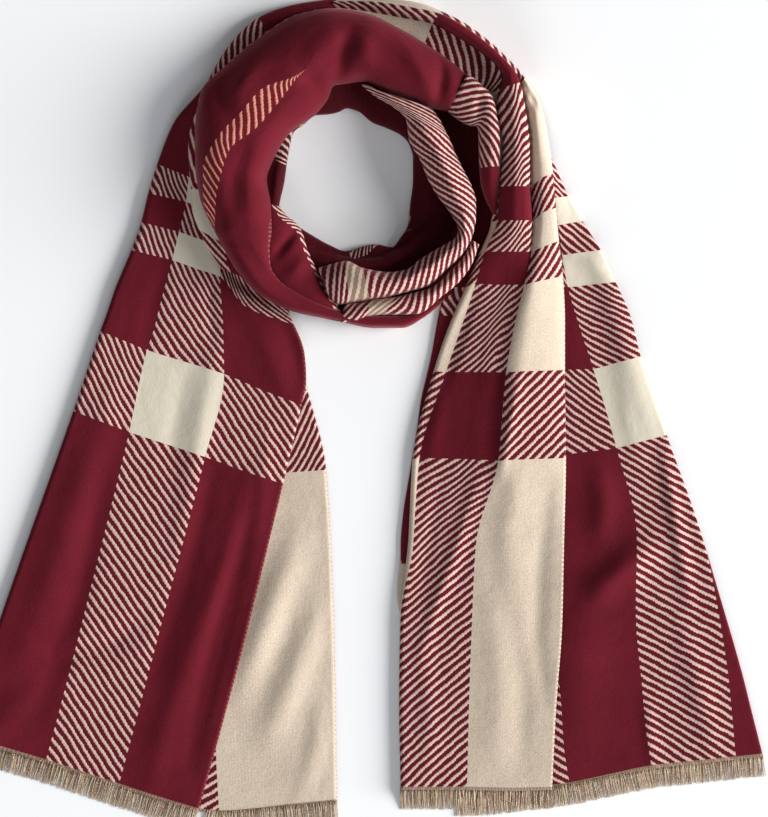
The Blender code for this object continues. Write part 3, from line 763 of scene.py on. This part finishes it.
FLAP_PLAN = (  # v from the right hem, and the plan points edge, roll, right, crest, left and fold
    (0, (552, 790), (510, 791), (467, 790), (436, 790), (407.5, 790), (400.5, 790)),
    (85, (556, 707), (513, 706), (469, 706), (437, 706), (406, 706), (399, 706)),
    (170, (562, 625), (517, 624), (472, 622), (438, 622), (407, 622), (400, 620)),
    (250, (564, 544), (520, 544), (476, 544), (442, 544), (415, 544), (408.2, 541)),
    (340, (566, 458), (509, 460), (498, 460.6), (460, 459), (419.6, 458), (412.6, 459)),
    (425, (565, 370), (518, 371.5), (506, 372.4), (476, 372), (446, 372), (433.6, 371)),
    (470, (565, 322), (525, 326), (513.5, 329), (487, 328), (461, 328), (448, 328)),
    (515, (563, 276), (533, 283), (524, 285), (501, 285), (475.5, 284), (465.5, 287)),
    (545, (559, 241), (541, 248), (531, 252), (509, 252), (485, 252), (478, 256)),
    (575, (556, 208), (543, 213), (533, 221), (515, 221), (497, 221), (491, 222)),
    (605, (553, 174), (542, 178), (531, 187), (515, 187), (499, 187), (493, 188)),
    (650, (547, 130), (538, 136), (530.5, 145), (515, 145), (502.5, 143), (497, 143)),
    (680, (538, 95), (533, 101), (526, 110), (513, 109), (495.5, 112.5), (489.5, 114.5)),
    (697, (523, 76), (522, 78), (519.5, 81), (511, 84), (498.5, 88), (484, 96)),
    (706, (516.5, 68), (515.5, 69.5), (514, 72), (509, 75.5), (501.5, 78.5), (479, 93)),
    (714, (510, 61), (509, 62.5), (507.5, 64.5), (504, 68), (499, 71), (474, 92)),
    (738, (488, 40.5), (487, 42), (485.5, 43.8), (481, 47), (475, 50), (456, 84)),
    (765, (459, 20), (458, 21.7), (456.8, 23.5), (452, 28), (447, 32.5), (434, 65)),
    (780, (441, 11.5), (440.3, 13), (439.3, 15), (436, 20), (432, 25), (421, 53)),
    (797, (420, 3), (418.6, 6.2), (417, 9.5), (414, 15), (411, 20.5), (404, 43)),
    (838, (368, -4), (367.5, -0.5), (367, 2), (366.5, 7), (366, 12), (364, 26)),
    (868, (333, -1), (333, 0), (333, 1.2), (333, 4), (333, 7), (334, 15)),
)
FLAP_LAY = (  # u_edge, u_tuck, u_strip and u_left, then the height of each of the six points
    (0, 79, 79, 147, 8, 8, 7.4, 7.2, 7.6, 7.6), (0, 79, 79, 147, 10.5, 9.6, 8, 7.2, 7.6, 7.6),
    (0, 79, 79, 148, 11, 10, 8.2, 7.2, 7.6, 7.6), (0, 79, 79, 154, 8.6, 9.4, 8.6, 7.2, 7.6, 7.6),
    (0, 77, 79, 156, 7.2, 15.5, 14.4, 9.2, 6, 6.8), (0, 68, 79, 156, 7.8, 21, 19.3, 11.8, 6, 7),
    (0, 62, 80, 156, 8.4, 23, 21, 13.5, 8, 9), (0, 46, 81, 156, 9.4, 23, 19.5, 15, 12, 12),
    (0, 38, 84, 156, 11, 22.5, 17, 21, 15.5, 13), (0, 32, 88, 156, 13, 22, 13, 27, 17, 13),
    (2, 32, 95, 156, 12, 23, 13, 31, 17, 12), (6, 36, 106, 156, 8, 25, 14, 34, 18, 12),
    (30, 56, 112, 156, 6, 27, 17, 36, 20, 14), (70, 76, 118, 156, 4, 28, 24, 36, 21, 17),
    (72, 79, 124, 156, 4, 27, 30, 37, 21, 19), (72, 79, 130, 156, 4, 26, 31, 37, 22, 20),
    (73, 79, 132, 156, 4, 26, 31, 37, 21, 19), (73, 79, 134, 156, 4, 25, 30, 36, 21, 19),
    (71, 79, 134, 156, 4, 24, 29, 34, 21, 19), (66, 79, 134, 156, 4, 23, 27, 31, 20, 18),
    (64, 79, 137, 156, 3, 15, 19, 21, 16, 15), (62, 79, 139, 156, 2, 8, 11, 13, 12, 11),
)
FOLD_SLACK = 0.32  # threads that a fold takes up for each millimetre that it is high
LOW = 300  # threads from the hem, up to which the flap lies flat


def flap_section(plan, lay):
    """The flap across, from its selvage over the roll and the raised fold, then round its edge.

    A tuck between the roll and the raised fold hides the threads from u_tuck to u_strip.
    """
    v, edge, roll, right, crest, left, fold = plan
    u_edge, u_tuck, u_strip, u_left, h_edge, h_roll, h_right, h_crest, h_left, h_fold = lay
    hidden, strip, rolled = u_strip - u_tuck, u_left - u_strip, u_tuck - u_edge
    share = math.dist(edge, roll) / math.dist(edge, right)
    u_side = u_edge + rolled * (share * 0.3 + 0.7)
    steep, near, rounded = (0.72, 0.95, 0.75) if h_crest > h_right else (0.3, 0.58, 0.4)
    shown = (0.08, 0.25, 0.5, 0.79) if v < LOW else (0.1, 0.22, 0.56, 0.84)
    u_strips = [u_tuck + strip * part for part in shown]
    section = [
        (*edge, max(h_edge - 4, 0.5) if h_edge < 6.5 else h_edge, u_edge),
        (*mix(edge, roll, 0.25), level(h_edge, h_roll, rounded), u_edge + rolled * share * 0.25),
        (*roll, h_roll, u_edge + rolled * share),
        (*mix(roll, right, 0.7), level(h_right, h_roll, 0.6), u_side),
        (*right, h_right, u_tuck),
        (*mix(right, crest, 0.16), level(h_right, h_crest, steep), u_strips[0]),
        (*mix(right, crest, 0.5), level(h_right, h_crest, near), u_strips[1]),
        (*crest, h_crest, u_strips[2]),
        (*mix(crest, left, 0.6), level(h_left, h_crest, 0.6), u_strips[3]),
        (*left, h_left, u_left - hidden),
    ]
    u_fold = u_left - hidden + math.dist(left, fold) + h_fold * FOLD_SLACK
    bend = reversed(turn(fold, left, h_fold, u_fold))
    under = [(*mix(fold, right, 0.6), 0.3, u_fold + 30)]
    return [(*point, CLOTH_LENGTH - v, hidden) for point in (*section, *bend, *under)]


FLAP_CREASES = (
    ((529, 95), (533, 101), (536, 108), 4, -5), ((517, 380), (511, 420), (501, 475), 6, 2.6),
    ((512, 290), (500, 372), (487, 452), 10, -2), ((446, 372), (436, 420), (428, 462), 7, 1.8),
    ((478, 480), (462, 532), (448, 572), (434, 612), (420, 660), 7, 3.2),
    ((440, 470), (430, 540), (418, 600), 8, -1.6), ((424, 650), (430, 710), (428, 770), 10, 1.6),
    ((520, 470), (508, 530), (512, 600), 12, 2.4),
    ((548, 480), (540, 560), (536, 640), (544, 700), 9, -2.2),
    ((492, 600), (500, 680), (496, 760), 10, 1.6), ((520, 640), (524, 700), (520, 770), 9, -1.4),
)
flap_rows = [flap_section(plan, lay) for plan, lay in zip(FLAP_PLAN, FLAP_LAY)]
flap_grid = fine_grid(flap_rows, FLAP_CREASES)
TUCK_STATION = 4  # the point "right", where the tuck is
tuck_column = station_column(flap_grid, TUCK_STATION)
right_flap = cloth(
    "right_flap", flap_grid, ["right_tail", "right_shoulder"],
    (back_face, front_face), jumps=[(tuck_column, flap_grid[:, tuck_column, 5])],
)


# Right under layer: the same end's other half, front face up. It comes out from under the flap's
# selvage and is folded along its right edge, with the last threads tucked under.

# Each row: v from the right hem, the plan points, then u_fold, h_stripe and h_fold
UNDER = (  # the points are hidden, band, stripe, fold and end
    (0, (489, 796), (570, 786), (652, 769), (763.6, 757), (690, 763), 498, 3.6, 3.8),
    (40, (485, 756), (564, 747), (646, 729), (754, 719), (684, 725), 492, 3.6, 3.8),
    (85, (480, 716), (561, 702), (642.5, 689), (743, 675), (676, 684), 486, 3.6, 3.8),
    (170, (470, 636), (552, 622), (636, 611), (719, 592), (664, 604), 476, 3.6, 3.8),
    (250, (462, 560), (548, 544), (637, 537), (696, 516), (650, 532), 468, 3.8, 3.8),
    (340, (452, 470), (538, 458), (616.7, 448), (667, 435), (634, 444), 456, 4.2, 4),
    (425, (470, 380), (536, 371), (593.4, 368.7), (641, 356.5), (610, 364), 453, 4.8, 4.2),
    (470, (490, 332), (540, 328), (580, 328), (631, 317), (598, 326), 453, 5.8, 4.6),
    (515, (505, 286), (540, 282), (568, 287), (616, 282), (586, 285), 451, 7.2, 5),
    (545, (512, 252), (540, 250), (562, 255), (601, 250), (576, 253), 444, 8.6, 5.4),
    (575, (515, 222), (540, 221), (558, 225), (583, 221), (568, 223), 430, 10, 5.6),
    (605, (516, 190), (538, 190), (554, 198), (569, 196), (560, 196), 420, 11, 6),
    (650, (518, 150), (532, 152), (545, 158), (552, 158), (546, 158), 406, 9, 6),
)


def under_section(v, hidden, band, stripe, fold, end, u_fold, h_stripe, h_fold):
    """The under layer across: its top face, the fold at its right and the tucked part below."""
    u_stripe = STRIPES[2][0]
    section = [
        (*hidden, 2.2, STRIPES[1][0]),
        (*band, 2.6 + (h_stripe - 3.6) * 0.8, STRIPES[1][1]),
        (*mix(band, stripe, 0.5), 3.0 + (h_stripe - 3.6), 351),
        (*stripe, h_stripe, u_stripe),
        (*mix(stripe, fold, 0.5), (h_stripe + h_fold) / 2, (u_stripe + u_fold) / 2),
        *reversed(turn(fold, stripe, h_fold, u_fold)),
        (*end, 0.0, CLOTH_WIDTH),
    ]
    return [(*point, CLOTH_LENGTH - v) for point in section]


UNDER_CREASES = (
    ((655, 546), (628, 564), (603, 586), (590, 604), 16, 8),
    ((582, 606), (576, 660), (575, 745), 30, 5.2), ((648, 700), (650, 735), (654, 765), 6, 2),
    ((664, 450), (676, 520), (690, 604), 7, 4.2), ((598, 466), (604, 505), (600, 540), 12, 4.5),
    ((594, 244), (612, 300), (632, 370), (650, 440), 14, 4.5),
    ((616, 366), (628, 420), (640, 470), 9, 1.4), ((680, 620), (700, 690), (712, 750), 12, 3),
    ((566, 250), (590, 262), (606, 270), 7, 3),
)
under_grid = fine_grid([under_section(*row) for row in UNDER], UNDER_CREASES)
cloth("right_under_layer", under_grid)


# First fold: where the back strand ends at the right shoulder, its cloth turns down behind the
# raised fold of the flap, and shows its front face in a narrow rounded fold.

FIRST_FOLD = (  # v, the plan points inner and outer, crown, u_inner and u_outer
    (1670, (447.6, 112), (467, 75), 34, 156, 234), (1681, (456, 118.5), (475, 80), 35, 156, 234),
    (1692, (464, 123.5), (483, 87.5), 36, 156, 233), (1703, (471, 126), (491, 95.5), 36, 157, 232),
    (1713, (476, 126), (495, 105.5), 35.5, 159, 230), (1723, (478, 131), (497, 117), 35, 161, 226),
    (1733, (478.3, 141), (499.5, 130), 34, 163, 222),
    (1743, (478.6, 152), (500.5, 145), 32.5, 164, 220),
    (1751, (479, 163), (500.3, 159), 31, 165, 218),
    (1757, (479.5, 171), (499.5, 170), 29, 165, 216),
    (1768, (480.5, 182), (499, 181), 26, 165, 212), (1782, (484.5, 197), (498, 196), 21, 165, 206),
    (1793, (489.5, 208), (497, 207), 17, 165, 200),
    (1800, (493.5, 215), (496.5, 215), 14, 165, 195),
)
FIRST_CREASES = (
    ((481, 98), (479.5, 110), (478.5, 124), 3.5, -3.5),
    ((456, 96), (470, 86), (484, 92), (493, 110), (496, 128), 6, 2.5),
)
FOLD_SHAPE = (  # share of the way out, fullness, and share of the threads
    (0, 0.15, 0), (0, 0.5, 0.1), (0.07, 0.72, 0.22), (0.25, 0.9, 0.4), (0.55, 1, 0.62),
    (0.82, 0.96, 0.82), (0.95, 0.86, 0.93), (1, 0.7, 1),
)
fold_rows = [
    [
        (*mix(inner, outer, share), crown * fullness, level(u_inner, u_outer, part), v)
        for share, fullness, part in FOLD_SHAPE
    ]
    for v, inner, outer, crown, u_inner, u_outer in FIRST_FOLD
]
cloth("first_fold", fine_grid(fold_rows, FIRST_CREASES))


# Tucked edge: below the flap its cloth turns back in a flat pleat. A narrow strip of it shows at
# the flap's left, first with its front face up and near the hem with its back.

# Each row: the strip's outer edge, the width that goes in under the flap, and v from the right hem
TUCKED_EDGE = (
    ((470, 262), 14, 566), ((452, 284), 18, 548), ((442, 301), 18, 531),
    ((438, 318), 18, 513), ((432, 352), 18, 496), ((428, 370), 18, 490),
    ((421, 400), 18, 480), ((417, 428), 18, 470), ((412.5, 456), 18, 462),
    ((408.5, 480), 18, 456), ((403, 515), 18, 448), ((400.6, 545), 18, 440),
    ((400.5, 564), 18, 434),
)
TUCKED_CORNER = (
    ((400, 560), 18, 262), ((398, 580), 18, 242), ((397.2, 596), 18, 226),
    ((399, 610), 16, 212), ((403, 622), 12, 200),
)
STRIP_U = 160  # threads, where the cloth turns under
STRIP_SHAPE = (  # share of the way in, rise, and threads from there
    (0.3, 0, 0), (0.06, 0.1, 0), (0, 0.5, 1), (0.05, 0.9, 3), (0.3, 1, 8), (1, 1, 26),
)


def tucked(name, table, height, faces):
    """A flat strip with a rounded outer edge, most of it under the flap."""
    rows = [
        [
            (x + width * share, y, height * rise, STRIP_U + threads, CLOTH_LENGTH - v)
            for share, rise, threads in STRIP_SHAPE
        ]
        for (x, y), width, v in table
    ]
    cloth(name, fine_grid(rows), faces=faces)


tucked("tucked_edge", TUCKED_EDGE, 3.4, (front_face, back_face))
tucked("tucked_corner", TUCKED_CORNER, 3.2, (back_face, front_face))


# Fringe: the warp yarns left loose at both hems, a little uneven in length and direction, and of
# the colours of both faces.

FRINGE_PITCH = 0.78  # threads
FRINGE_LENGTH = 21.5
YARN = 0.69  # threads, half the width of one yarn end
UNDER_HEADER = 1.5  # threads, how far inside the hem a yarn end starts
SLANT, CURL = 0.09, 1.1  # share of its length, and threads, by which a yarn end strays
RINGS, YARN_SIDES = 5, 4
FRINGE_TONES = (
    (0.0, (0.158, 0.095, 0.058)), (0.25, (0.288, 0.197, 0.128)), (0.5, (0.446, 0.333, 0.230)),
    (0.75, (0.547, 0.449, 0.333)), (0.9, (0.432, 0.286, 0.211)), (1.0, (0.302, 0.116, 0.083)),
)

fringe_yarn, yarn_shader, yarn_maker = new_material("fringe_yarn", 0.15, (1.0, 0.9, 0.8))
yarn_place = yarn_maker.node("UVMap", {"uv_map": "cloth"})
yarn_number = yarn_maker.node("SeparateXYZ", inputs={0: yarn_place})
tone = yarn_maker.node("TexWhiteNoise", {"noise_dimensions": "1D"}, {"W": yarn_number})
shade = tone * 0.8 + noise(yarn_place, 0.7) * 0.9 + 0.1
yarn_colour = yarn_maker.node("ValToRGB", {"stops": FRINGE_TONES}, {0: shade})
yarn_maker.tree.links.new(yarn_colour.socket, yarn_shader.inputs["Base Color"])


def fringe(name, node, root_height, seed, *hem):
    """Loose yarn ends along a hem, each a thin tapering tube."""
    draw = random.Random(seed)
    lengths = [math.dist(a, b) for a, b in zip(hem, hem[1:])]
    verts, faces, numbers = [], [], []
    for k in range(int(sum(lengths) / FRINGE_PITCH)):
        distance = (k + 0.5) * FRINGE_PITCH
        for a, b, length in zip(hem, hem[1:], lengths):
            if distance <= length:
                break
            distance -= length
        root = np.array(mix(a, b, min(distance / length, 1)))
        along = np.subtract(b, a) / length
        down = np.array((-along[1], along[0]))
        if down[1] < 0:
            down = -down
        reach = FRINGE_LENGTH * draw.uniform(0.9, 1.02)
        slant, curl = draw.uniform(-SLANT, SLANT), draw.uniform(-CURL, CURL)
        lift = root_height * draw.uniform(0.75, 1.1)
        thick = YARN * draw.uniform(0.8, 1.25)
        start = len(verts)
        for ring in range(RINGS):
            t = ring / (RINGS - 1)
            stray = slant * reach * t + curl * math.sin(3.0 * t)
            middle = root + down * (reach * t - UNDER_HEADER) + along * stray
            height = lift * (1 - t) ** 1.5 + 0.6
            size = thick * (1 - 0.45 * t)
            for side in range(YARN_SIDES):
                angle = math.radians(45 + 90 * side)
                up = height + size * THREAD / MM * math.sin(angle)
                verts.append(place(*(middle + along * size * math.cos(angle)), max(up, 0.05)))
        for ring in range(RINGS - 1):
            for side in range(YARN_SIDES):
                low = start + ring * YARN_SIDES
                high = low + YARN_SIDES
                other = (side + 1) % YARN_SIDES
                faces.append((low + side, low + other, high + other, high + side))
                numbers.append([(k, ring * 5)] * 2 + [(k, ring * 5 + 5)] * 2)
        last = len(verts) - YARN_SIDES
        faces.append(tuple(start + side for side in reversed(range(YARN_SIDES))))
        faces.append(tuple(last + side for side in range(YARN_SIDES)))
        numbers += [[(k, 0)] * YARN_SIDES, [(k, 20)] * YARN_SIDES]
    mesh = bpy.data.meshes.new(name)
    mesh.from_pydata(verts, [], faces)
    layer = mesh.uv_layers.new(name="cloth")
    layer.data.foreach_set("uv", [n for face in numbers for pair in face for n in pair])
    mesh.shade_smooth()
    mesh.materials.append(fringe_yarn)
    made = add(name, mesh)
    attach(made, "root")
    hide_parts(node)


fringe(
    "left_fringe", "left_tail_fringe", 5.0, 21,
    (-42, 737), (0, 750), (45, 763), (118, 787), (198, 812),
)
fringe("left_under_hem_fringe", "left_under_fringe", 1.4, 22, (207, 812), (219, 814), (337, 803))
fringe("right_fringe", "right_flap_fringe", 6.0, 23, (400, 790), (467, 790), (552, 790))
fringe("right_under_hem_fringe", "right_under_fringe", 2.4, 24, (456, 797), *UNDER[0][1:5])
